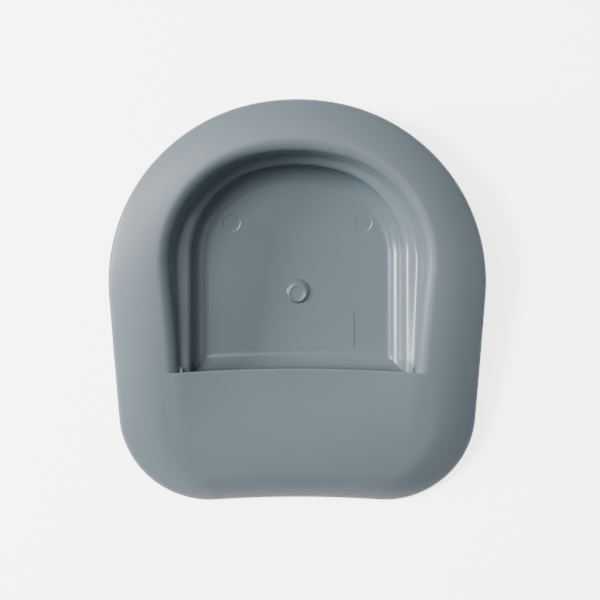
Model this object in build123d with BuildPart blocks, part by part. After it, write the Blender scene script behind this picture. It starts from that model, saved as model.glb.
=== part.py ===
from build123d import *
import os
from math import asin, atan2, cos, degrees, hypot, radians, sin, sqrt

# A wide, wedge-shaped bedpan, moulded in one piece in polypropylene.
# The frame is in millimetres: +Z up, +Y towards the high rounded back, -Y towards
# the low front edge, and the origin on the floor under the middle of the outline.
# The moulding is divided along its own feature lines: each zone is a closed solid,
# and neighbours meet face to face.

# Overall size
LENGTH = 384.8
WIDTH = 359.3
HEIGHT = 76.0
WALL = 3.0

# Outline of the pan, one half of it, from the middle of the back to the middle of the front
APEX_RADIUS = 202.0  # the flatter arc across the back
APEX_TURN = 11.5  # degrees of that arc on each side
CORNER_RADIUS = 86.2
CORNER_X = 85.4
FRONT_DIP = 2.9  # the front edge is slightly hollow between its corners

# Side profile: one long arc, level at the back and falling towards the front
CREST_RADIUS = 1000.0
CREST_Y = 150.0  # the highest line of the seat

# Crown of the seat, which falls away to the outer edge
CROWN_DROP = 11.0
CROWN_WIDTH = 47.0
TOE_WIDTH = 25.0  # the crown is narrower and steeper along the front edge
TOE_END_X = 150.0

# Deck at the front
LIP_Y = -67.5
LIP_BOW = 4.0  # the lip bows towards the basin in its middle
LIP_HALF_WIDTH = 115.0
DISH_DEPTH = 8.0
DISH_END_Y = -168.0
CREASE_END_X = 104.0

# Basin
FLOOR_HALF_WIDTH = 102.0  # across the lower wall
FLOOR_BACK = 132.0
FLOOR_APEX_RADIUS = 150.0
FLOOR_FILLET = 16.0
FLOOR_MARGIN = 1.5  # level strip between the fillet and the floor's own zone
LEDGE_Z = 36.0
LEDGE_HALF_WIDTH = 115.0
LEDGE_BACK = 139.5
LEDGE_APEX_RADIUS = 162.0
LEDGE_TAPER = 1.5
THROAT_Z = 80.0  # the upper wall is laid out up to this height, above the seat
THROAT_HALF_WIDTH = 126.5
THROAT_BACK = 145.0
THROAT_APEX_RADIUS = 178.0
THROAT_TAPER = 6.0
ARCH_TURN = 15.0  # degrees of the apex arc of each arch, on each side
ROLLOVER = 12.0  # radius where the seat turns down into the basin

# Outer edge
SEAM_DEPTH = 13.0  # the seat's own zone reaches this far below the crest
SKIRT_DEPTH = 21.0
TOE_CLEARANCE = 1.0

# Details on the floor
GATE_Y = 10.7
GATE_RADIUS = 11.8
GATE_HEIGHT = 3.6
GATE_LAND_RADIUS = 7.6
MARK_RADIUS = 7.8
MARK_DEPTH = 0.3
MARK_X = 64.0
MARK_Y = 77.2
PANEL_WIDTH = 110.0
PANEL_BACK_Y = -6.8
PANEL_FRONT_Y = -44.5
PANEL_HEIGHT = 0.4

REACH = 210.0  # half the side of a cutting block, larger than the pan
SEAT_STEP = 13.0
DECK_STEP = 7.0

# Worked-out points of the outline
turn = radians(APEX_TURN)
shoulder_radius = (WIDTH / 2 - APEX_RADIUS * sin(turn)) / (1 - sin(turn))
apex_centre_y = LENGTH / 2 - APEX_RADIUS
shoulder_x = (APEX_RADIUS - shoulder_radius) * sin(turn)
shoulder_y = apex_centre_y + (APEX_RADIUS - shoulder_radius) * cos(turn)
corner_y = -LENGTH / 2 + CORNER_RADIUS
span_x = shoulder_x - CORNER_X
span_y = shoulder_y - corner_y
side_lean = atan2(span_x, span_y) + asin((shoulder_radius - CORNER_RADIUS) / hypot(span_x, span_y))
dip_reach = CORNER_X**2 / (2 * FRONT_DIP) + FRONT_DIP / 2
dip_radius = dip_reach - CORNER_RADIUS
dip_turn = asin(CORNER_X / dip_reach)
dip_centre_y = corner_y - dip_reach * cos(dip_turn)
lip_radius = LIP_HALF_WIDTH**2 / (2 * LIP_BOW) + LIP_BOW / 2


def crest(y):
    """Height of the side profile at y."""
    run = max(0.0, CREST_Y - y)
    return HEIGHT - CREST_RADIUS + sqrt(CREST_RADIUS**2 - run**2)


def smooth(t):
    """0 below 0, 1 above 1, and an easy curve between."""
    t = min(1.0, max(0.0, t))
    return t * t * (3 - 2 * t)


def inset_from_outline(x, y):
    """Distance from a point inside the outline to its nearest edge."""
    x = abs(x)
    to_corner = radians(90) + side_lean
    angle_shoulder = atan2(x - shoulder_x, y - shoulder_y)
    angle_corner = atan2(x - CORNER_X, y - corner_y)
    if x <= CORNER_X and y < corner_y:
        return hypot(x, y - dip_centre_y) - dip_radius
    if y < corner_y and angle_corner > to_corner:
        return CORNER_RADIUS - hypot(x - CORNER_X, y - corner_y)
    if y > apex_centre_y and atan2(x, y - apex_centre_y) < turn:
        return APEX_RADIUS - hypot(x, y - apex_centre_y)
    if angle_shoulder < to_corner:
        return shoulder_radius - hypot(x - shoulder_x, y - shoulder_y)
    return shoulder_radius - ((x - shoulder_x) * cos(side_lean) - (y - shoulder_y) * sin(side_lean))


def crown_width(x, y):
    """Width of the crown band: wide round the seat, narrow along the front edge."""
    at_front = smooth((corner_y + 40 - y) / 60)
    at_middle = 1 - smooth((abs(x) - CORNER_X) / (TOE_END_X - CORNER_X))
    return CROWN_WIDTH - (CROWN_WIDTH - TOE_WIDTH) * at_front * at_middle


def crease_x(y):
    """Half width of the dished deck, where its creases are."""
    share = (LIP_Y - y) / (LIP_Y + LENGTH / 2)
    return LIP_HALF_WIDTH + (CREASE_END_X - LIP_HALF_WIDTH) * share


def seat_height(x, y):
    """Height of the crowned seat, which runs on smoothly where the basin and the dish are cut."""
    rise = max(0.0, 1 - inset_from_outline(x, y) / crown_width(x, y))
    return crest(y) - CROWN_DROP * rise**2


def deck_height(x, y):
    """Height of the deck: the seat with its dish."""
    dish = DISH_DEPTH * smooth((y - DISH_END_Y) / (LIP_Y - DISH_END_Y))
    return seat_height(x, y) - dish * max(0.0, 1 - (x / crease_x(y)) ** 2)


def under(height, depth, step):
    """Everything under the spline surface through that height at every step, lowered by depth."""
    count = int(REACH / step)
    ticks = [step * i for i in range(-count, count + 1)]
    rows = [[(x, y, height(x, y) - depth) for y in ticks] for x in ticks]
    surface = Face.make_surface_from_array_of_points(rows)
    return extrude(surface, amount=3 * HEIGHT, dir=(0, 0, -1))


def outline(inset=0.0):
    """The outline of the pan, moved inwards by inset."""
    with BuildSketch() as sketch:
        with BuildLine():
            back = JernArc((0, LENGTH / 2), (1, 0), APEX_RADIUS, -APEX_TURN)
            shoulder = JernArc(back @ 1, back % 1, shoulder_radius, APEX_TURN - 90 - degrees(side_lean))
            side_length = sqrt(hypot(span_x, span_y) ** 2 - (shoulder_radius - CORNER_RADIUS) ** 2)
            side = Line(shoulder @ 1, shoulder @ 1 + (shoulder % 1) * side_length)
            corner_turn = 90 - degrees(side_lean) + degrees(dip_turn)
            corner = JernArc(side @ 1, side % 1, CORNER_RADIUS, -corner_turn)
            half_dip = (dip_radius * sin(dip_turn / 2), dip_centre_y + dip_radius * cos(dip_turn / 2))
            ThreePointArc(corner @ 1, half_dip, (0, dip_centre_y + dip_radius))
            mirror(about=Plane.YZ)
        make_face()
        if inset:
            offset(amount=-inset)
    return sketch.sketch


def arch(half_width, back, apex_radius, taper, grow=0.0):
    """A round-backed arch, open sides running forward past the lip, moved outwards by grow."""
    arch_turn = radians(ARCH_TURN)
    radius = (half_width - apex_radius * sin(arch_turn)) / (1 - sin(arch_turn))
    side_length = (back - LIP_Y) * 0.8
    with BuildSketch() as sketch:
        with BuildLine():
            apex = JernArc((0, back), (1, 0), apex_radius, -ARCH_TURN)
            shoulder = JernArc(apex @ 1, apex % 1, radius, ARCH_TURN - 90 - taper)
            side = Line(shoulder @ 1, shoulder @ 1 + (shoulder % 1) * side_length)
            Line(side @ 1, (0, (side @ 1).Y))
            mirror(about=Plane.YZ)
        make_face()
        if grow:
            offset(amount=grow, kind=Kind.INTERSECTION)
    return sketch.sketch


def floor_arch(grow=0.0):
    return arch(FLOOR_HALF_WIDTH, FLOOR_BACK, FLOOR_APEX_RADIUS, 0.0, grow)


def ledge_arch(grow=0.0):
    return arch(LEDGE_HALF_WIDTH, LEDGE_BACK, LEDGE_APEX_RADIUS, LEDGE_TAPER, grow)


def throat_arch(grow=0.0):
    return arch(THROAT_HALF_WIDTH, THROAT_BACK, THROAT_APEX_RADIUS, THROAT_TAPER, grow)


def behind_lip(shift=0.0):
    """Everything behind the bowed line of the lip, moved back by shift."""
    lip_centre_y = LIP_Y + LIP_BOW - lip_radius + shift
    half_angle = degrees(asin(REACH / lip_radius))
    with BuildPart() as block:
        with BuildSketch():
            with BuildLine():
                front = CenterArc((0, lip_centre_y), lip_radius, 90 - half_angle, 2 * half_angle)
                Polyline(front @ 0, (REACH, REACH), (-REACH, REACH), front @ 1)
            make_face()
        extrude(amount=2 * HEIGHT, both=True)
    return block.part


def above_profile(depth):
    """Everything higher than the side profile lowered by depth."""
    with BuildPart() as block:
        with BuildSketch(Plane.YZ):
            with BuildLine():
                level = Line((REACH, HEIGHT - depth), (CREST_Y, HEIGHT - depth))
                fall = ThreePointArc(level @ 1, (0, crest(0) - depth), (-REACH, crest(-REACH) - depth))
                Polyline(fall @ 1, (-REACH, 2 * HEIGHT), (REACH, 2 * HEIGHT), level @ 0)
            make_face()
        extrude(amount=REACH, both=True)
    return block.part


def behind(edges):
    """Those of the edges that lie behind the line of the lip."""
    return [edge for edge in edges if (edge @ 0.5).Y > LIP_Y + LIP_BOW + 1]


def lower_space(grow):
    """The lower half of the basin's space, moved outwards by grow into the wall."""
    with BuildPart() as space:
        with BuildSketch(Plane.XY.offset(WALL - grow)):
            add(floor_arch(grow))
        extrude(amount=LEDGE_Z - WALL + 1)
        add(behind_lip(-grow), mode=Mode.INTERSECT)
        fillet(space.faces().sort_by(Axis.Z)[0].edges(), radius=FLOOR_FILLET + grow)
    return space.part


def upper_space(grow):
    """The upper half of the basin's space, from the ledge to above the seat."""
    with BuildPart() as space:
        with BuildSketch(Plane.XY.offset(LEDGE_Z - grow)):
            add(ledge_arch(grow))
        with BuildSketch(Plane.XY.offset(THROAT_Z)):
            add(throat_arch(grow))
        loft(ruled=True)
        add(behind_lip(-grow), mode=Mode.INTERSECT)
    return space.part


def basin_space(grow):
    """The whole space of the basin, moved outwards by grow into the wall."""
    lower = lower_space(grow)
    with BuildPart() as space:
        add(upper_space(grow))
        add(lower)
    return space.part


def seat_skin(depth):
    """The solid under the seat with the basin sunk into it, lowered by depth."""
    below_seat = under(seat_height, depth, SEAT_STEP)
    upper = upper_space(depth)
    lower = lower_space(depth)
    with BuildPart() as block:
        with BuildSketch():
            add(outline(depth))
        extrude(amount=2 * HEIGHT)
        add(below_seat, mode=Mode.INTERSECT)
        add(upper, mode=Mode.SUBTRACT)
        rim_edges = block.edges().filter_by(lambda edge: edge.bounding_box().min.Z > LEDGE_Z + 8)
        fillet(behind(rim_edges.filter_by(inside_seat)), radius=ROLLOVER - depth)
        add(lower, mode=Mode.SUBTRACT)
    return block.part


def deck_skin(depth):
    """The solid under the dished deck, lowered by depth."""
    below_deck = under(deck_height, depth, DECK_STEP)
    with BuildPart() as block:
        with BuildSketch():
            add(outline(depth))
        extrude(amount=2 * HEIGHT)
        add(below_deck, mode=Mode.INTERSECT)
    return block.part


def inside_seat(edge):
    """Whether an edge lies well inside the outline, round the mouth of the basin."""
    middle = edge @ 0.5
    return inset_from_outline(middle.X, middle.Y) > CROWN_WIDTH / 2


def column(sketch, bottom=-1.0, top=2 * HEIGHT):
    """A straight block with the plan of the sketch, from bottom to top."""
    with BuildPart() as block:
        with BuildSketch(Plane.XY.offset(bottom)):
            add(sketch)
        extrude(amount=top - bottom)
    return block.part


def strip(half_width_back, half_width_front):
    """Plan of a band along the middle of the pan, from behind the lip to past the front edge."""
    with BuildSketch() as sketch:
        with BuildLine():
            Polyline(
                (-half_width_back, LIP_Y + 2 * LIP_BOW),
                (half_width_back, LIP_Y + 2 * LIP_BOW),
                (half_width_front, -LENGTH / 2 - 1),
                (-half_width_front, -LENGTH / 2 - 1),
                close=True,
            )
        make_face()
    return sketch.sketch


def zone(body, inside=(), outside=()):
    """The part of a body that is in every block of inside and in none of outside."""
    with BuildPart() as piece:
        add(body)
        for block in inside:
            add(block, mode=Mode.INTERSECT)
        for block in outside:
            add(block, mode=Mode.SUBTRACT)
    return piece.part


# The moulding behind the lip, in front of it, and its basin, before they are divided
under_deck = deck_skin(WALL)
seat_moulding = zone(seat_skin(0.0), outside=[seat_skin(WALL)])
deck_moulding = zone(deck_skin(0.0), outside=[under_deck])
basin_moulding = zone(basin_space(WALL), outside=[basin_space(0.0)])

# Blocks that divide it
seat_side = above_profile(SEAM_DEPTH)
skirt_side = above_profile(SKIRT_DEPTH)
behind_wall = behind_lip()
behind_wall_face = behind_lip(-WALL)
inside_skirt = column(outline(2 * WALL))
level_floor = column(floor_arch(-FLOOR_FILLET - FLOOR_MARGIN))
behind_front_fillet = behind_lip(FLOOR_FILLET + FLOOR_MARGIN)
beside_floor = zone(behind_wall, outside=[level_floor])
ledge_plan = column(ledge_arch())
above_ledge = column(outline(), bottom=LEDGE_Z - WALL)
above_toe = column(outline(), bottom=TOE_CLEARANCE)
lip_plan = column(strip(LIP_HALF_WIDTH + ROLLOVER, LIP_HALF_WIDTH + ROLLOVER))
deck_plan = column(strip(LIP_HALF_WIDTH, CREASE_END_X))
right_side = column(Rectangle(REACH, 2 * REACH, align=(Align.MIN, Align.CENTER)))
behind_corners = column(Pos(0, corner_y) * Rectangle(2 * REACH, 2 * REACH, align=(Align.CENTER, Align.MIN)))

skirt = zone(seat_moulding, [skirt_side, above_toe], [seat_side, inside_skirt])
basin_back = zone(basin_moulding, [behind_wall], [seat_side])
deck = zone(deck_moulding, [seat_side], [behind_wall])

# Seat: crown and rollover round the back and the sides
with BuildPart() as seat_rim:
    add(seat_moulding)
    add(seat_side, mode=Mode.INTERSECT)
    add(behind_wall, mode=Mode.INTERSECT)

# Bead where the deck ends above the basin
with BuildPart() as apron_lip:
    add(deck)
    add(behind_wall_face, mode=Mode.INTERSECT)
    add(lip_plan, mode=Mode.INTERSECT)

# Dished deck between the two creases
with BuildPart() as front_apron:
    add(deck)
    add(deck_plan, mode=Mode.INTERSECT)
    add(apron_lip.part, mode=Mode.SUBTRACT)

# Crowned strips outside the creases
with BuildPart() as right_shoulder:
    add(deck)
    add(right_side, mode=Mode.INTERSECT)
    add(deck_plan, mode=Mode.SUBTRACT)
    add(apron_lip.part, mode=Mode.SUBTRACT)

with BuildPart() as left_shoulder:
    mirror(right_shoulder.part, about=Plane.YZ)

# Turned-down outer edge
with BuildPart() as rim_skirt:
    add(skirt)
    add(behind_corners, mode=Mode.INTERSECT)

with BuildPart() as front_edge:
    add(skirt)
    add(behind_corners, mode=Mode.SUBTRACT)

# Basin walls, from the seat down
with BuildPart() as upper_wall:
    add(basin_back)
    add(above_ledge, mode=Mode.INTERSECT)
    add(ledge_plan, mode=Mode.SUBTRACT)

with BuildPart() as basin_ledge:
    add(basin_back)
    add(above_ledge, mode=Mode.INTERSECT)
    add(ledge_plan, mode=Mode.INTERSECT)

with BuildPart() as basin_wall:
    add(basin_back)
    add(above_ledge, mode=Mode.SUBTRACT)
    add(level_floor, mode=Mode.SUBTRACT)

with BuildPart() as front_wall:
    add(basin_moulding)
    add(under_deck, mode=Mode.INTERSECT)
    add(behind_front_fillet, mode=Mode.SUBTRACT)
    add(beside_floor, mode=Mode.SUBTRACT)

# Floor, with the two ejector marks as separate discs a little lower than it
with BuildPart() as basin_floor:
    with BuildSketch():
        add(floor_arch(-FLOOR_FILLET - FLOOR_MARGIN))
        with Locations((-MARK_X, MARK_Y), (MARK_X, MARK_Y)):
            Circle(MARK_RADIUS, mode=Mode.SUBTRACT)
    extrude(amount=WALL)
    add(behind_front_fillet, mode=Mode.INTERSECT)

with BuildPart() as ejector_marks:
    with BuildSketch():
        with Locations((-MARK_X, MARK_Y), (MARK_X, MARK_Y)):
            Circle(MARK_RADIUS)
    extrude(amount=WALL - MARK_DEPTH)

# Stub of the moulding gate: a low dome with a flat land on top
with BuildPart() as gate_boss:
    with BuildSketch(Plane.XZ.offset(-GATE_Y)):
        with BuildLine():
            base = Line((0, WALL), (GATE_RADIUS, WALL))
            land_edge = (GATE_LAND_RADIUS, WALL + GATE_HEIGHT)
            ThreePointArc(base @ 1, (0.92 * GATE_RADIUS, WALL + 0.62 * GATE_HEIGHT), land_edge)
            Polyline(land_edge, (0, WALL + GATE_HEIGHT), (0, WALL))
        make_face()
    revolve(axis=Axis((0, GATE_Y, 0), (0, 0, 1)))

# Blank raised rectangle on the floor, rounded at its back corners
with BuildPart() as blank_panel:
    with BuildSketch(Plane.XY.offset(WALL)):
        with Locations((0, (PANEL_BACK_Y + PANEL_FRONT_Y) / 2)):
            panel = Rectangle(PANEL_WIDTH, PANEL_BACK_Y - PANEL_FRONT_Y)
        fillet(panel.vertices().group_by(Axis.Y)[-1], radius=6)
    extrude(amount=PANEL_HEIGHT)

pieces = {
    "seat_rim": seat_rim,
    "front_apron": front_apron,
    "left_shoulder": left_shoulder,
    "right_shoulder": right_shoulder,
    "apron_lip": apron_lip,
    "rim_skirt": rim_skirt,
    "front_edge": front_edge,
    "upper_wall": upper_wall,
    "basin_ledge": basin_ledge,
    "basin_wall": basin_wall,
    "front_wall": front_wall,
    "basin_floor": basin_floor,
    "gate_boss": gate_boss,
    "ejector_marks": ejector_marks,
    "blank_panel": blank_panel,
}
os.makedirs("parts", exist_ok=True)
for name, piece in pieces.items():
    piece.part.label = name
    export_step(piece.part, f"parts/{name}.step")
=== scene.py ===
from functools import partial
from math import asin, atan, atan2, cos, hypot, pi, radians, sin, sqrt, tan

import bmesh
import bpy
import numpy as np
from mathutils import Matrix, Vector
from mathutils.geometry import tessellate_polygon


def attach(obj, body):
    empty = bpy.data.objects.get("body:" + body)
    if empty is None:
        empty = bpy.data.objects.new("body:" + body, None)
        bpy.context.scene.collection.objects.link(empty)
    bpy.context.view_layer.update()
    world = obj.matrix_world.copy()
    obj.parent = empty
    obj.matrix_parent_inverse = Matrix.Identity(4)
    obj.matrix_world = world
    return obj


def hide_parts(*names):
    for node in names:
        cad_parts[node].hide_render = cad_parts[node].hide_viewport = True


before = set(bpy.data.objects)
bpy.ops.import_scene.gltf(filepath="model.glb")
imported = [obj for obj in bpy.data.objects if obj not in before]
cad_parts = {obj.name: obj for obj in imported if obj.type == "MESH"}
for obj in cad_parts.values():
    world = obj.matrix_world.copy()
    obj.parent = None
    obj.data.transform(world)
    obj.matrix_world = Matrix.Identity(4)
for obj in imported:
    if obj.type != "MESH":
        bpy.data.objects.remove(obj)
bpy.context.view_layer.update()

# Sizes of the moulding in millimetres, the same as in the CAD
LENGTH = 384.8
WIDTH = 359.3
HEIGHT = 76.0
WALL = 3.0
APEX_RADIUS = 202.0
APEX_TURN = radians(11.5)
CORNER_RADIUS = 86.2
CORNER_X = 85.4
FRONT_DIP = 2.9
CREST_RADIUS = 1000.0
CREST_Y = 150.0
CROWN_DROP = 11.0
CROWN_WIDTH = 47.0
TOE_WIDTH = 25.0
TOE_END_X = 150.0
LIP_Y = -67.5
LIP_BOW = 4.0
LIP_HALF_WIDTH = 115.0
DISH_DEPTH = 8.0
DISH_END_Y = -168.0
CREASE_END_X = 104.0
FLOOR_HALF_WIDTH = 102.0
FLOOR_BACK = 132.0
FLOOR_APEX_RADIUS = 150.0
FLOOR_FILLET = 16.0
FLOOR_MARGIN = 1.5
LEDGE_HALF_WIDTH = 115.0
LEDGE_BACK = 139.5
LEDGE_APEX_RADIUS = 162.0
LEDGE_TAPER = radians(1.5)
LEDGE_Z = 36.0
THROAT_HALF_WIDTH = 126.5
THROAT_BACK = 145.0
THROAT_APEX_RADIUS = 178.0
THROAT_TAPER = radians(6.0)
THROAT_Z = 80.0
ARCH_TURN = radians(15.0)
ROLLOVER = 12.0
SKIRT_DEPTH = 21.0
SEAM_DEPTH = 13.0
TOE_CLEARANCE = 1.0
MARK_RADIUS = 7.8
MARK_X = 64.0
MARK_Y = 77.2
MARK_DEPTH = 0.3
GATE_Y = 10.7

# Sizes that only the visible skins have
EDGE_INSET = 4.0  # the outer edge starts to turn down this far in
EDGE_DROP = 3.5
LEDGE_TILT = 3.2  # the ledge's outer edge is this much higher than LEDGE_Z, and its inner edge lower
LEDGE_HOLLOW = 6.0
HOLLOW_ROOM = 3.4  # height above the ledge's outer edge that its hollow needs
LEDGE_ROUND = 8.0
LIP_ROUND = 1.0
CREASE_SOFTNESS = 0.022
MARK_SLOPE = 0.9  # the floor slopes down to each ejector mark over this width
GATE_LEAN = 3.0
UNDER_CLEARANCE = 0.4  # the outer edge's underside stays this far above the ground
SMOOTH_LIMIT = cos(radians(35.0))  # faces that meet more sharply than this show an edge
GRID = 2000  # points are rounded to this many steps in a millimetre, so that shared ones match

# Points in each stretch of a profile, from the outer edge to the floor
FOOT_COLUMNS = 2
BEND_COLUMNS = 7
EDGE_COLUMNS = FOOT_COLUMNS + BEND_COLUMNS
CROWN_COLUMNS = 15
ROLL_COLUMNS = 10
UPPER_COLUMNS = 5
LEDGE_COLUMNS = 2
LOWER_COLUMNS = 3
ROUND_COLUMNS = 6
FILLET_COLUMNS = 12

# Camera straight above
CAMERA_PLACE = (0.00256, 0.0020, 2.2)
CAMERA_LENS = 135.54

# Worked-out points of the outline
shoulder_radius = (WIDTH / 2 - APEX_RADIUS * sin(APEX_TURN)) / (1 - sin(APEX_TURN))
apex_centre_y = LENGTH / 2 - APEX_RADIUS
shoulder_x = (APEX_RADIUS - shoulder_radius) * sin(APEX_TURN)
shoulder_y = apex_centre_y + (APEX_RADIUS - shoulder_radius) * cos(APEX_TURN)
corner_y = -LENGTH / 2 + CORNER_RADIUS
span_x = shoulder_x - CORNER_X
span_y = shoulder_y - corner_y
side_lean = atan2(span_x, span_y) + asin((shoulder_radius - CORNER_RADIUS) / hypot(span_x, span_y))
dip_reach = CORNER_X**2 / (2 * FRONT_DIP) + FRONT_DIP / 2
dip_radius = dip_reach - CORNER_RADIUS
dip_turn = asin(CORNER_X / dip_reach)
dip_centre_y = corner_y - dip_reach * cos(dip_turn)
lip_radius = LIP_HALF_WIDTH**2 / (2 * LIP_BOW) + LIP_BOW / 2


def crest(y):
    """Height of the side profile at y."""
    return HEIGHT - CREST_RADIUS + sqrt(CREST_RADIUS**2 - max(0.0, CREST_Y - y) ** 2)


def smooth(t):
    """0 below 0, 1 above 1, and an easy curve between."""
    t = min(1.0, max(0.0, t))
    return t * t * (3 - 2 * t)


def inset_from_outline(x, y):
    """Distance from a point inside the outline to its nearest edge."""
    x = abs(x)
    to_corner = pi / 2 + side_lean
    if x <= CORNER_X and y < corner_y:
        return hypot(x, y - dip_centre_y) - dip_radius
    if y < corner_y and atan2(x - CORNER_X, y - corner_y) > to_corner:
        return CORNER_RADIUS - hypot(x - CORNER_X, y - corner_y)
    if y > apex_centre_y and atan2(x, y - apex_centre_y) < APEX_TURN:
        return APEX_RADIUS - hypot(x, y - apex_centre_y)
    if atan2(x - shoulder_x, y - shoulder_y) < to_corner:
        return shoulder_radius - hypot(x - shoulder_x, y - shoulder_y)
    return shoulder_radius - ((x - shoulder_x) * cos(side_lean) - (y - shoulder_y) * sin(side_lean))


def crown_width(x, y):
    """Width of the crown band: wide round the seat, narrow along the front edge."""
    at_front = smooth((corner_y + 40 - y) / 60)
    at_middle = 1 - smooth((abs(x) - CORNER_X) / (TOE_END_X - CORNER_X))
    return CROWN_WIDTH - (CROWN_WIDTH - TOE_WIDTH) * at_front * at_middle


def seat_height(x, y):
    """Height of the crowned seat."""
    rise = max(0.0, 1 - inset_from_outline(x, y) / crown_width(x, y))
    return crest(y) - CROWN_DROP * rise**2


def deck_height(x, y):
    """Height of the deck: the seat with its dish, which is soft at its two creases."""
    share = (LIP_Y - y) / (LIP_Y + LENGTH / 2)
    crease_x = LIP_HALF_WIDTH + (CREASE_END_X - LIP_HALF_WIDTH) * share
    fall = 1 - (x / crease_x) ** 2
    fall = (fall + sqrt(fall * fall + CREASE_SOFTNESS**2)) / 2
    dish = DISH_DEPTH * smooth((y - DISH_END_Y) / (LIP_Y - DISH_END_Y))
    return seat_height(x, y) - dish * fall * (1 - smooth((abs(x) - 120) / 12))


def lip_y(x):
    """Line of the lip, in plan."""
    return LIP_Y + LIP_BOW - lip_radius + sqrt(lip_radius**2 - x * x)


class Arch:
    """A round-backed arch in plan: an apex arc, shoulder arcs, and sides that lean in at the front."""

    def __init__(self, half_width, back, apex_radius, apex_turn, lean):
        self.turn = apex_turn
        self.apex = (0.0, back - apex_radius, apex_radius)
        radius = (half_width - apex_radius * sin(apex_turn)) / (1 - sin(apex_turn))
        x = (apex_radius - radius) * sin(apex_turn)
        self.shoulder = (x, back - apex_radius + (apex_radius - radius) * cos(apex_turn), radius)
        self.lean = lean

    def round_back(self, angle):
        """The point whose normal is turned by angle from straight back."""
        x, y, radius = self.apex if angle < self.turn else self.shoulder
        return np.array([x + radius * sin(angle), y + radius * cos(angle)])

    def side_x(self, y):
        """Half width at a y in front of the widest point."""
        centre_x, centre_y, radius = self.shoulder
        tangent_y = centre_y - radius * sin(self.lean)
        if y > tangent_y:
            return centre_x + sqrt(radius**2 - (y - centre_y) ** 2)
        return centre_x + radius * cos(self.lean) - (tangent_y - y) * tan(self.lean)

    def end(self, inset=0.0):
        """The y where the side meets the lip's line, or where both do once they move in by inset."""
        y = LIP_Y
        for _ in range(8):
            y = lip_y(self.side_x(y) - inset) + inset
        return y

    def side(self, share, inset=0.0):
        """The point at that share of the way from the widest point to the lip."""
        y = self.shoulder[1] + (self.end(inset) - self.shoulder[1]) * share
        return np.array([self.side_x(y) - inset, y])


outline = Arch(WIDTH / 2, LENGTH / 2, APEX_RADIUS, APEX_TURN, side_lean)
throat = Arch(THROAT_HALF_WIDTH, THROAT_BACK, THROAT_APEX_RADIUS, ARCH_TURN, THROAT_TAPER)
ledge = Arch(LEDGE_HALF_WIDTH, LEDGE_BACK, LEDGE_APEX_RADIUS, ARCH_TURN, LEDGE_TAPER)
lower = Arch(FLOOR_HALF_WIDTH, FLOOR_BACK, FLOOR_APEX_RADIUS, ARCH_TURN, 0.0)


def space(plan, z):
    """The point at height z over a point in plan."""
    return np.array([plan[0], plan[1], z])


def line(start, end, count):
    """Points on the way from start to end, with end and without start."""
    return [start + (end - start) * (i / count) for i in range(1, count + 1)]


def rounding(start, corner, end, radius, count):
    """Points of the arc of that radius that rounds the corner between start and end."""
    into = (corner - start) / np.linalg.norm(corner - start)
    away = (end - corner) / np.linalg.norm(end - corner)
    turn = np.arccos(np.clip(into @ away, -1, 1))
    aside = away - into * (into @ away)
    aside /= np.linalg.norm(aside)
    first = corner - into * radius * tan(turn / 2)
    centre = first + aside * radius
    angles = [turn * i / count for i in range(count + 1)]
    return [centre - aside * radius * cos(a) + into * radius * sin(a) for a in angles]


def edge_profile(on_outline, outwards):
    """The turned-down outer edge, from its foot up to where the crown starts."""
    y = on_outline[1]
    inner = on_outline - outwards * EDGE_INSET
    z_corner = seat_height(*(on_outline - outwards * 0.01))
    z_foot = max(crest(y) - SKIRT_DEPTH, TOE_CLEARANCE)
    low = space(on_outline, z_corner - min(EDGE_DROP, 0.7 * (z_corner - z_foot)))
    corner = space(on_outline, z_corner)
    high = space(inner, seat_height(*inner))
    foot = line(low, space(on_outline, z_foot), FOOT_COLUMNS)[::-1]
    bend = []
    for i in range(BEND_COLUMNS):
        t = i / (BEND_COLUMNS - 1)
        bend.append(low * (1 - t) ** 2 + corner * 2 * t * (1 - t) + high * t * t)
    return foot + bend


def plan_points(angle, share):
    """A profile's points in plan, on the four arches and the floor, and its outward normal."""
    arches = (outline, throat, ledge, lower)
    if share is None:
        outwards = np.array([sin(angle), cos(angle)])
        on_arches = [arch.round_back(angle) for arch in arches]
        floor = on_arches[-1] - outwards * FLOOR_FILLET
        level = floor - outwards * FLOOR_MARGIN
    else:
        on_arches = [arch.side(share) for arch in arches]
        floor = lower.side(share, FLOOR_FILLET)
        level = lower.side(share, FLOOR_FILLET + FLOOR_MARGIN)
        edge_y = on_arches[0][1]
        lean = side_lean
        if edge_y >= outline.shoulder[1] - shoulder_radius * sin(side_lean):
            lean = asin((outline.shoulder[1] - edge_y) / shoulder_radius)
        outwards = np.array([cos(lean), -sin(lean)])
    return *on_arches, floor, level, outwards


def on_wall(top, step, z):
    """Plan of the upper wall at height z."""
    return step + (top - step) * (z - LEDGE_Z) / (THROAT_Z - LEDGE_Z)


def crown_and_rollover(first, top, step):
    """Points over the crown, then round an arc that touches the crown and the upper wall."""
    away = top - step
    alpha = atan(np.linalg.norm(away) / (THROAT_Z - LEDGE_Z))
    away = away / np.linalg.norm(away)
    z_centre = crest(step[1]) - ROLLOVER
    begin = 0.0
    for _ in range(6):
        centre = on_wall(top, step, z_centre) + away * ROLLOVER / cos(alpha)
        start = centre + away * ROLLOVER * sin(begin)
        slope = seat_height(*(start - away * 0.5)) - seat_height(*(start + away * 0.5))
        begin = atan(slope)
        z_centre = seat_height(*start) - ROLLOVER * cos(begin)
    points = []
    for i in range(1, CROWN_COLUMNS + 1):
        plan = first[:2] + (start - first[:2]) * i / CROWN_COLUMNS
        points.append(space(plan, seat_height(*plan)))
    for i in range(1, ROLL_COLUMNS + 1):
        beta = -begin + (pi / 2 - alpha + begin) * i / ROLL_COLUMNS
        points.append(space(centre - away * ROLLOVER * sin(beta), z_centre + ROLLOVER * cos(beta)))
    return points


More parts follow.
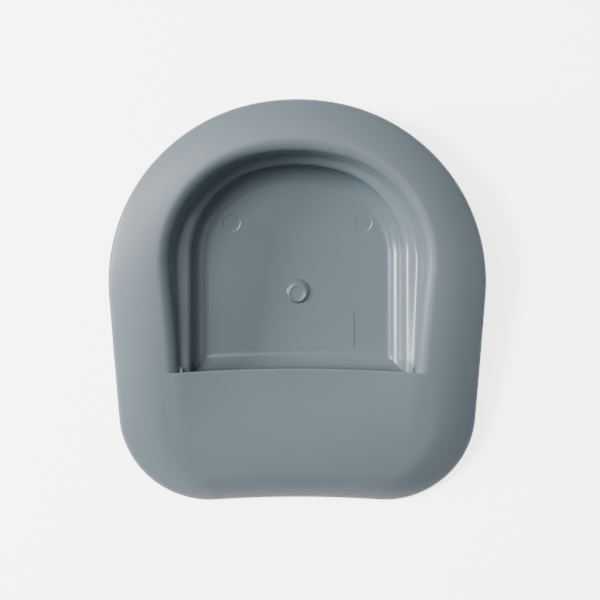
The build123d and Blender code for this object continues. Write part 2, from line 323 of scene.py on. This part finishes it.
def wall_and_ledge(roll_end, top, step, wall):
    """Points down the upper wall, over the sloping ledge, and down to the floor's fillet."""
    ledge_top = min(LEDGE_Z + LEDGE_TILT, roll_end[2] - HOLLOW_ROOM)
    seam = max(crest(step[1]) - SEAM_DEPTH, ledge_top + HOLLOW_ROOM - 0.3)
    hollow_corner = space(on_wall(top, step, ledge_top), ledge_top)
    nose_corner = space(wall, LEDGE_Z - LEDGE_TILT)
    spring = space(wall, WALL + FLOOR_FILLET)
    points = [space(on_wall(top, step, seam), seam)]
    hollow = rounding(points[-1], hollow_corner, nose_corner, LEDGE_HOLLOW, ROUND_COLUMNS)
    points += line(points[-1], hollow[0], UPPER_COLUMNS) + hollow[1:]
    nose = rounding(hollow_corner, nose_corner, spring, LEDGE_ROUND, ROUND_COLUMNS)
    points += line(hollow[-1], nose[0], LEDGE_COLUMNS) + nose[1:]
    return points + line(nose[-1], spring, LOWER_COLUMNS)


def mitre(turn):
    """Plan of the line where the side fillet meets the front fillet."""
    inset = FLOOR_FILLET * (1 - cos(turn))
    x = FLOOR_HALF_WIDTH - inset
    return np.array([x, lip_y(x) + inset])


def station(angle=None, share=None):
    """One profile from the outer edge to the floor, at an angle round the back or a share of the side."""
    edge, top, step, wall, floor, level, outwards = plan_points(angle, share)
    points = edge_profile(edge, outwards)
    points += crown_and_rollover(points[-1], top, step)
    points += wall_and_ledge(points[-1], top, step, wall)
    for i in range(1, FILLET_COLUMNS + 1):
        turn = pi / 2 * i / FILLET_COLUMNS
        plan = mitre(turn) if share == 1.0 else wall + (floor - wall) * (1 - cos(turn))
        points.append(space(plan, WALL + FLOOR_FILLET * (1 - sin(turn))))
    points.append(space(level, WALL))
    return points


# Columns of a station, by the piece they belong to
crown_end = EDGE_COLUMNS + CROWN_COLUMNS
seam_column = crown_end + ROLL_COLUMNS
hollow_middle = seam_column + UPPER_COLUMNS + ROUND_COLUMNS // 2
nose_end = seam_column + UPPER_COLUMNS + LEDGE_COLUMNS + 2 * ROUND_COLUMNS
spring_column = nose_end + LOWER_COLUMNS
bands = {
    "rim_skirt": (0, FOOT_COLUMNS),
    "seat_rim": (FOOT_COLUMNS, seam_column),
    "upper_wall": (seam_column, hollow_middle),
    "basin_ledge": (hollow_middle, nose_end),
    "basin_wall": (nose_end, spring_column + FILLET_COLUMNS + 1),
}

zones = {}


def flip(points):
    """The same points on the other side of the plane x = 0."""
    return points * np.array([-1.0, 1.0, 1.0])


def grid_normals(grid, up_at):
    """Unit normals of a grid of points, all on the side that faces up at the point up_at."""
    along = np.gradient(grid, axis=0)
    across = np.gradient(grid, axis=1)
    normals = np.cross(along, across)
    normals = normals / np.maximum(np.linalg.norm(normals, axis=2, keepdims=True), 1e-9)
    return -normals if normals[up_at][2] < 0 else normals


class Skin:
    """Faces of one closed piece, made of patches of a surface and of its underside."""

    def __init__(self):
        self.corners = []

    def face(self, *points):
        self.corners.append([tuple(p) for p in points])

    def slab(self, top, under, keep=None):
        """A grid of points with a thickness: top, underside, and a side wherever the grid ends."""
        rows, columns = top.shape[0] - 1, top.shape[1] - 1
        if keep is None:
            keep = np.ones((rows, columns), bool)

        def kept(i, j):
            return 0 <= i < rows and 0 <= j < columns and keep[i, j]

        for i in range(rows):
            for j in range(columns):
                if not kept(i, j):
                    continue
                ring = [(i, j), (i + 1, j), (i + 1, j + 1), (i, j + 1)]
                self.face(*[top[c] for c in ring])
                self.face(*[under[c] for c in ring[::-1]])
                beside = [(i, j - 1), (i + 1, j), (i, j + 1), (i - 1, j)]
                for k in range(4):
                    if not kept(*beside[k]):
                        a, b = ring[k], ring[(k + 1) % 4]
                        self.face(top[b], top[a], under[a], under[b])


def skin(name):
    """The skin of that node, new when it is first asked for."""
    return zones.setdefault(name, Skin())


# Back and sides
BACK_STATIONS = 60
SIDE_STATIONS = 24
right_half = [station(angle=pi / 2 * i / BACK_STATIONS) for i in range(BACK_STATIONS + 1)]
right_half += [station(share=i / SIDE_STATIONS) for i in range(1, SIDE_STATIONS + 1)]
right_half = np.array(right_half)
shell = np.concatenate([flip(right_half)[:0:-1], right_half])
offsets = -grid_normals(shell, (len(shell) // 2, crown_end - 3)) * WALL
for end_row in (0, -1):
    offsets[end_row, spring_column:, 1] = -abs(offsets[end_row, spring_column:, 0])
under_shell = shell + offsets
under_shell[:, -1, 2] = 0.0
for name, (a, b) in bands.items():
    skin(name).slab(shell[:, a : b + 1], under_shell[:, a : b + 1])

# Deck: a net between the line of the lip and the rest of the outline
last = right_half[-1]
crown_row = last[EDGE_COLUMNS - 1 : crown_end]
side_start = last[0]
side_length = (side_start[1] - (corner_y - CORNER_RADIUS * sin(side_lean))) / cos(side_lean)
corner_length = CORNER_RADIUS * (pi / 2 - side_lean + dip_turn)
dip_length = dip_radius * dip_turn


def front_outline(way):
    """Point and outward normal on the outline, that way from the lip's end to the front's middle."""
    if way < side_length:
        normal = np.array([cos(side_lean), -sin(side_lean)])
        back = np.array([sin(side_lean), cos(side_lean)])
        corner = np.array([CORNER_X, corner_y]) + CORNER_RADIUS * normal
        return corner + back * (side_length - way), normal
    if way < side_length + corner_length:
        angle = side_lean + (way - side_length) / CORNER_RADIUS
        normal = np.array([cos(angle), -sin(angle)])
        return np.array([CORNER_X, corner_y]) + CORNER_RADIUS * normal, normal
    angle = dip_turn - (way - side_length - corner_length) / dip_radius
    normal = np.array([-sin(angle), -cos(angle)])
    return np.array([0, dip_centre_y]) - dip_radius * normal, normal


def deck_normal(x, y):
    """Unit normal of the deck's surface."""
    step = 0.25
    rise_x = (deck_height(x + step, y) - deck_height(x - step, y)) / (2 * step)
    rise_y = (deck_height(x, y + step) - deck_height(x, y - step)) / (2 * step)
    normal = np.array([-rise_x, -rise_y, 1.0])
    return normal / np.linalg.norm(normal)


CREASE_COLUMN = CROWN_COLUMNS + 3
HALF_DISH_COLUMNS = 22
half_columns = CREASE_COLUMN + HALF_DISH_COLUMNS

# Shares of the way from the lip to the front: a thin row for the bead, then closer rows at the front
rows = [0.0, 0.024] + [0.024 + 0.756 * i / 26 for i in range(1, 27)]
rows += [0.78 + 0.22 * i / 14 for i in range(1, 15)]
row_count = len(rows)

# Ways along the outline: down the side to the middle of the corner, then along the front
corner_way = side_length + CORNER_RADIUS * (pi / 4 - side_lean)
crease_angle = np.arccos((CREASE_END_X - CORNER_X) / (CORNER_RADIUS - EDGE_INSET))
crease_way = side_length + CORNER_RADIUS * (crease_angle - side_lean)
end_way = side_length + corner_length + dip_length
ways = [corner_way * share for share in rows]
for i in range(1, CREASE_COLUMN + 1):
    ways.append(corner_way + (crease_way - corner_way) * i / CREASE_COLUMN)
for i in range(1, HALF_DISH_COLUMNS + 1):
    ways.append(crease_way + (end_way - crease_way) * i / HALF_DISH_COLUMNS)
half_edge = np.array([edge_profile(*front_outline(way)) for way in ways])
half_edge[0] = last[:EDGE_COLUMNS]
half_edge[-1, :, 0] = 0.0
edge = np.concatenate([half_edge, flip(half_edge)[-2::-1]])

side_line = half_edge[:row_count, -1]
front_line = half_edge[row_count - 1 :, -1]
lip_line = [point[:2] for point in crown_row]
for i in range(1, 4):
    x = crown_row[-1][0] + (LIP_HALF_WIDTH - crown_row[-1][0]) * i / 3
    lip_line.append(np.array([x, lip_y(x)]))
for i in range(1, HALF_DISH_COLUMNS + 1):
    x = LIP_HALF_WIDTH * (1 - i / HALF_DISH_COLUMNS)
    lip_line.append(np.array([x, lip_y(x)]))
half_deck = np.zeros((row_count, half_columns + 1, 3))
for i, share in enumerate(rows):
    sideways = side_line[i][:2] - (side_line[0][:2] * (1 - share) + side_line[-1][:2] * share)
    for j in range(half_columns + 1):
        plan = lip_line[j] * (1 - share) + front_line[j][:2] * share
        plan = plan + sideways * max(0.0, 1 - j / CREASE_COLUMN)
        half_deck[i, j] = space(plan, deck_height(*plan))
half_deck[:, 0] = side_line
half_deck[-1] = front_line
half_deck[0, : CROWN_COLUMNS + 1] = crown_row
deck = np.concatenate([half_deck, flip(half_deck)[:, -2::-1]], axis=1)

# Undersides of the deck and of the edge round it, which meet those of the back and sides
deck_offsets = np.array([[deck_normal(p[0], p[1]) * -WALL for p in row] for row in deck])
crown_offsets = offsets[-1, EDGE_COLUMNS - 1 : crown_end]
deck_offsets[0, : CROWN_COLUMNS + 1] = crown_offsets
deck_offsets[0, -CROWN_COLUMNS - 1 :] = flip(crown_offsets)[::-1]
edge_offsets = -grid_normals(edge, (len(edge) // 2, -1)) * WALL
edge_offsets[0] = offsets[-1, :EDGE_COLUMNS]
edge_offsets[-1] = flip(offsets[-1, :EDGE_COLUMNS])
edge_offsets[:row_count, -1] = deck_offsets[:, 0]
edge_offsets[row_count - 1 : len(edge) - row_count + 1, -1] = deck_offsets[-1]
edge_offsets[-row_count:, -1] = deck_offsets[::-1, -1]
under_deck = deck + deck_offsets
under_edge = edge + edge_offsets
under_edge[:, :, 2] = np.maximum(under_edge[:, :, 2], UNDER_CLEARANCE)

# Deck, shoulders and front edge
columns = deck.shape[1] - 1
on_lip = slice(CROWN_COLUMNS, columns - CROWN_COLUMNS)
deck_columns = {
    "right_shoulder": slice(0, CREASE_COLUMN),
    "front_apron": slice(CREASE_COLUMN, columns - CREASE_COLUMN),
    "left_shoulder": slice(columns - CREASE_COLUMN, columns),
}
for name, its_columns in deck_columns.items():
    keep = np.zeros((row_count - 1, columns), bool)
    keep[:, its_columns] = True
    keep[0, on_lip] = False
    skin(name).slab(deck, under_deck, keep)
edge_end = len(edge) - 1
crease_row = row_count - 1 + CREASE_COLUMN
corner_row = next(i for i, point in enumerate(half_edge) if point[0][1] < corner_y)
bend_part, foot_part = slice(FOOT_COLUMNS, None), slice(0, FOOT_COLUMNS + 1)
for name, first_row, last_row, part in (
    ("right_shoulder", 0, crease_row, bend_part),
    ("front_apron", crease_row, edge_end - crease_row, bend_part),
    ("left_shoulder", edge_end - crease_row, edge_end, bend_part),
    ("rim_skirt", 0, corner_row, foot_part),
    ("front_edge", corner_row, edge_end - corner_row, foot_part),
    ("rim_skirt", edge_end - corner_row, edge_end, foot_part),
):
    its_rows = slice(first_row, last_row + 1)
    skin(name).slab(edge[its_rows, part], under_edge[its_rows, part])

# Bead of the lip: the deck's end, rounded where it turns down
bead = []
for j in range(CROWN_COLUMNS, columns - CROWN_COLUMNS + 1):
    top, end = deck[1, j], deck[0, j]
    foot = end - np.array([0, 0, WALL])
    fade = 1 - smooth((abs(end[0]) - LIP_HALF_WIDTH) / (crown_row[-1][0] - LIP_HALF_WIDTH))
    turn = rounding(top, end, foot, 0.1 + (LIP_ROUND - 0.1) * fade, 5)
    bead.append([top, *turn, foot, under_deck[1, j]])
for j in range(len(bead) - 1):
    for i in range(len(bead[0])):
        k = (i + 1) % len(bead[0])
        skin("apron_lip").face(bead[j][i], bead[j][k], bead[j + 1][k], bead[j + 1][i])
skin("apron_lip").face(*bead[0])
skin("apron_lip").face(*bead[-1])

# Front wall, with its fillet down to the floor
WALL_COLUMNS = 48
UPPER_ROWS = ((1.0, 121.0), (0.66, 119.2), (0.33, 117.4), (0.0, 115.6))  # share of the height, half width
STEP_OUTER = 115.4  # half widths where the wall steps in under the ledge
STEP_INNER = 105.4
STEP_FALL = 0.3
LOWER_HALF_WIDTH = 105.2
UPRIGHT = 0.4  # the wall is upright for this much above its fillet
front_top, front_under = [], []


def upper_height(share, x):
    """Height on the upper front wall, that share of the way from the ledge to the deck's underside."""
    return LEDGE_Z + share * (deck_height(x, lip_y(x)) - WALL - LEDGE_Z)


def front_row(half_width, inset, height, drop, widen=0.0):
    """One row of the front wall, at a height or a function of x, and the row of its outer side."""
    top_row, under_row = [], []
    for i in range(WALL_COLUMNS + 1):
        x = half_width * (1 - 2 * i / WALL_COLUMNS)
        z = height(x) if callable(height) else height
        top_row.append((x, lip_y(x) + inset, z))
        grown = x * (half_width + widen) / half_width
        under_row.append((grown, lip_y(x) + inset - drop[0], z - drop[1]))
    front_top.append(top_row)
    front_under.append(under_row)


for share, half_width in UPPER_ROWS:
    front_row(half_width, 0.0, partial(upper_height, share), (WALL, 0.0))
front_row(STEP_OUTER, 0.0, LEDGE_Z - WALL, (WALL, 0.0))
front_row(STEP_INNER, 0.0, LEDGE_Z - WALL - STEP_FALL, (WALL, 0.0))
front_row(LOWER_HALF_WIDTH, 0.0, WALL + FLOOR_FILLET + UPRIGHT, (WALL, 0.0))
for i in range(FILLET_COLUMNS + 1):
    turn = pi / 2 * i / FILLET_COLUMNS
    inset = FLOOR_FILLET * (1 - cos(turn))
    height = WALL + FLOOR_FILLET * (1 - sin(turn))
    drop = (WALL * cos(turn), WALL * sin(turn))
    front_row(FLOOR_HALF_WIDTH - inset, inset, height, drop, WALL * cos(turn))
edge_inset = FLOOR_FILLET + FLOOR_MARGIN
front_row(FLOOR_HALF_WIDTH - edge_inset, edge_inset, WALL, (0.0, WALL))
front_top = np.array(front_top)
front_under = np.array(front_under)
skin("front_wall").slab(front_top, front_under)


def circle(x, y, radius, z, count):
    """Points of a level circle."""
    angles = [2 * pi * i / count for i in range(count)]
    return [(x + radius * cos(angle), y + radius * sin(angle), z) for angle in angles]


def join(name, outer, inner):
    """Faces between two loops that have the same number of points."""
    for i in range(len(outer)):
        skin(name).face(outer[i - 1], outer[i], inner[i], inner[i - 1])


# Floor, open over the two ejector marks. The level ring round each keeps its slope's shading off the floor.
MARK_SIDES = 48
LEVEL_RING = 0.3
ring = [tuple(p) for p in shell[:, -1]] + [tuple(p) for p in front_top[-1]][1:-1]
rings = [ring]
banks, sills = [], []
bank_radius = MARK_RADIUS + MARK_SLOPE
for mark_x in (-MARK_X, MARK_X):
    rings.append(circle(mark_x, MARK_Y, bank_radius + LEVEL_RING, WALL, MARK_SIDES))
    banks.append(circle(mark_x, MARK_Y, bank_radius, WALL, MARK_SIDES))
    sills.append(circle(mark_x, MARK_Y, MARK_RADIUS, WALL - MARK_DEPTH, MARK_SIDES))
for z, loops in ((WALL, rings), (0.0, [ring, *sills])):
    points = [p for loop in loops for p in loop]
    for triangle in tessellate_polygon([[Vector((p[0], p[1], 0)) for p in loop] for loop in loops]):
        skin("basin_floor").face(*[(points[i][0], points[i][1], z) for i in triangle])
for outer, inner in (*zip(rings[1:], banks), *zip(banks, sills)):
    join("basin_floor", outer, inner)
for loop in (ring, *sills):
    join("basin_floor", loop, [(x, y, 0.0) for x, y, z in loop])

# Stub of the moulding gate: a low boss whose land is hollow and leans to the front
GATE_SIDES = 64
GATE_PROFILE = (  # radius, height above the floor
    (11.8, 0.0),
    (11.6, 0.7),
    (11.1, 1.6),
    (10.3, 2.4),
    (9.4, 3.0),
    (8.6, 3.4),
    (8.0, 3.55),
    (7.5, 3.5),
    (7.0, 3.2),
    (6.5, 3.0),
    (5.8, 2.9),
    (3.0, 2.85),
)
gate_rings = []
for radius, height in GATE_PROFILE:
    lean = GATE_LEAN * (1 - radius / GATE_PROFILE[0][0]) * 2
    gate_rings.append(circle(0.0, GATE_Y - lean, radius, WALL + height, GATE_SIDES))
for below, above in zip(gate_rings, gate_rings[1:]):
    join("gate_boss", below, above)
skin("gate_boss").face(*gate_rings[0])
skin("gate_boss").face(*gate_rings[-1])


def build(name, corners):
    """A mesh of those faces, in metres, without the faces that two slabs share inside it."""
    index, faces = {}, {}
    for corner in corners:
        face = []
        for p in corner:
            key = tuple(round(c * GRID) for c in p)
            face.append(index.setdefault(key, len(index)))
        ring = [v for i, v in enumerate(face) if v != face[i - 1]]
        if len(set(ring)) < 3:
            continue
        key = frozenset(ring)
        if key in faces:
            del faces[key]
        else:
            faces[key] = ring
    mesh = bpy.data.meshes.new(name)
    places = [tuple(c / GRID / 1000 for c in key) for key in index]
    mesh.from_pydata(places, [], list(faces.values()))
    tidy = bmesh.new()
    tidy.from_mesh(mesh)
    loose = [v for v in tidy.verts if not v.link_faces]
    bmesh.ops.delete(tidy, geom=loose, context="VERTS")
    bmesh.ops.recalc_face_normals(tidy, faces=tidy.faces)
    tidy.to_mesh(mesh)
    tidy.free()
    return mesh


def plastic(name, colour, roughness, grain, grain_size):
    """A moulded plastic with faint flow marks in its colour and gloss, and a fine grain."""
    material = bpy.data.materials.new(name)
    material.use_nodes = True
    nodes = material.node_tree.nodes
    links = material.node_tree.links
    shader = nodes["Principled BSDF"]
    place = nodes.new("ShaderNodeTexCoord")
    cloud = nodes.new("ShaderNodeTexNoise")
    cloud.inputs["Scale"].default_value = 9.0
    cloud.inputs["Detail"].default_value = 4.0
    cloud.inputs["Distortion"].default_value = 0.6
    links.new(place.outputs["Object"], cloud.inputs["Vector"])
    tint = nodes.new("ShaderNodeMix")
    tint.data_type = "RGBA"
    tint.inputs["A"].default_value = (*[c * 0.95 for c in colour], 1)
    tint.inputs["B"].default_value = (*[min(1, c * 1.05) for c in colour], 1)
    links.new(cloud.outputs["Fac"], tint.inputs["Factor"])
    links.new(tint.outputs["Result"], shader.inputs["Base Color"])
    rough = nodes.new("ShaderNodeMapRange")
    rough.inputs["To Min"].default_value = roughness - 0.04
    rough.inputs["To Max"].default_value = roughness + 0.04
    links.new(cloud.outputs["Fac"], rough.inputs["Value"])
    links.new(rough.outputs["Result"], shader.inputs["Roughness"])
    fine = nodes.new("ShaderNodeTexNoise")
    fine.inputs["Scale"].default_value = grain_size
    fine.inputs["Detail"].default_value = 2.0
    links.new(place.outputs["Object"], fine.inputs["Vector"])
    bump = nodes.new("ShaderNodeBump")
    bump.inputs["Strength"].default_value = grain
    bump.inputs["Distance"].default_value = 0.0002
    links.new(fine.outputs["Fac"], bump.inputs["Height"])
    links.new(bump.outputs["Normal"], shader.inputs["Normal"])
    return material


seat_plastic = plastic("seat_plastic", (0.138, 0.176, 0.2), roughness=0.44, grain=0.5, grain_size=900.0)
# The basin is the same plastic as the seat, with a glossier, smoother finish. Its base colour is a little
# lighter than the seat's: painted light that brightens the basin floor.
basin_plastic = plastic("basin_plastic", (0.144, 0.184, 0.207), roughness=0.22, grain=0.08, grain_size=500.0)
basin_nodes = ("upper_wall", "basin_ledge", "basin_wall", "front_wall", "basin_floor", "gate_boss")
meshes = {}
for name, piece in zones.items():
    mesh = build(name + "_skin", piece.corners)
    meshes[name] = mesh
    body = bpy.data.objects.new(name + "_skin", mesh)
    bpy.context.collection.objects.link(body)
    # Basin pieces take the basin plastic, whose slightly lighter colour is painted light on the basin floor.
    in_basin = name in basin_nodes
    mesh.materials.append(basin_plastic if in_basin else seat_plastic)
    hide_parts(name)
    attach(body, "root")


def place_key(mesh, v):
    """The place of a vertex, as a key that vertices at one point of different meshes share."""
    return tuple(round(c * GRID * 1000) for c in mesh.vertices[v].co)


def shade_together(meshes):
    """Gives corners that meet at a point one normal, over all meshes, unless their faces make an edge."""
    at_point = {}
    for mesh in meshes:
        for polygon in mesh.polygons:
            normal = np.array(polygon.normal)
            for v in polygon.vertices:
                at_point.setdefault(place_key(mesh, v), []).append(normal)
    at_point = {key: np.array(normals) for key, normals in at_point.items()}
    for mesh in meshes:
        corner_normals = []
        for polygon in mesh.polygons:
            polygon.use_smooth = True
            normal = np.array(polygon.normal)
            for v in polygon.vertices:
                normals = at_point[place_key(mesh, v)]
                near = normals[normals @ normal > SMOOTH_LIMIT]
                mean = near.sum(axis=0) if len(near) else normal
                corner_normals.append(tuple(mean / np.linalg.norm(mean)))
        mesh.normals_split_custom_set(corner_normals)


shade_together(list(meshes.values()))

# The marks and the panel keep their CAD meshes, with a fine bevel
for name in ("ejector_marks", "blank_panel"):
    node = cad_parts[name]
    for material_slot in node.material_slots:
        material_slot.material = basin_plastic
    bevel = node.modifiers.new("edges", "BEVEL")
    bevel.width = 0.0002
    bevel.segments = 3
    bevel.limit_method = "ANGLE"
    bevel.angle_limit = radians(40)

# Pale floor that stays near white, with the shadow still on it
bpy.ops.mesh.primitive_plane_add(size=30, location=(0, 0, 0))
floor = bpy.context.object
floor.name = "studio_floor"
paper = bpy.data.materials.new("studio_paper")
paper.use_nodes = True
paper_shader = paper.node_tree.nodes["Principled BSDF"]
paper_shader.inputs["Base Color"].default_value = (0.85, 0.85, 0.85, 1)
paper_shader.inputs["Roughness"].default_value = 0.9
paper_shader.inputs["Emission Color"].default_value = (1, 1, 1, 1)
paper_shader.inputs["Emission Strength"].default_value = 3.6
floor.data.materials.append(paper)
lit_by_paper = bpy.data.collections.new("lit_by_paper")
lit_by_paper.objects.link(floor)
floor.light_linking.receiver_collection = lit_by_paper


def softbox(name, place, size, power):
    """A square area light that faces the middle of the object."""
    data = bpy.data.lights.new(name, "AREA")
    data.size = size
    data.energy = power
    light = bpy.data.objects.new(name, data)
    bpy.context.collection.objects.link(light)
    light.location = place
    light.rotation_euler = (-Vector(place)).to_track_quat("-Z", "Y").to_euler()
    return light


softbox("key_light", (-2.1, 0.25, 0.95), size=0.75, power=88)
softbox("top_light", (-1.3, 0.8, 2.9), size=1.6, power=115)
softbox("right_fill", (2.3, -0.3, 1.7), size=1.6, power=8)
paper_light = softbox("paper_light", (-1.6, 0.3, 2.6), size=0.5, power=170)
paper_light.light_linking.receiver_collection = lit_by_paper

world = bpy.data.worlds.new("studio")
world.use_nodes = True
world.node_tree.nodes["Background"].inputs["Color"].default_value = (1, 1, 1, 1)
world.node_tree.nodes["Background"].inputs["Strength"].default_value = 0.06
bpy.context.scene.world = world

camera_data = bpy.data.cameras.new("camera")
camera_data.sensor_width = 36
camera_data.lens = CAMERA_LENS
camera = bpy.data.objects.new("camera", camera_data)
camera.location = CAMERA_PLACE
bpy.context.collection.objects.link(camera)
bpy.context.scene.camera = camera
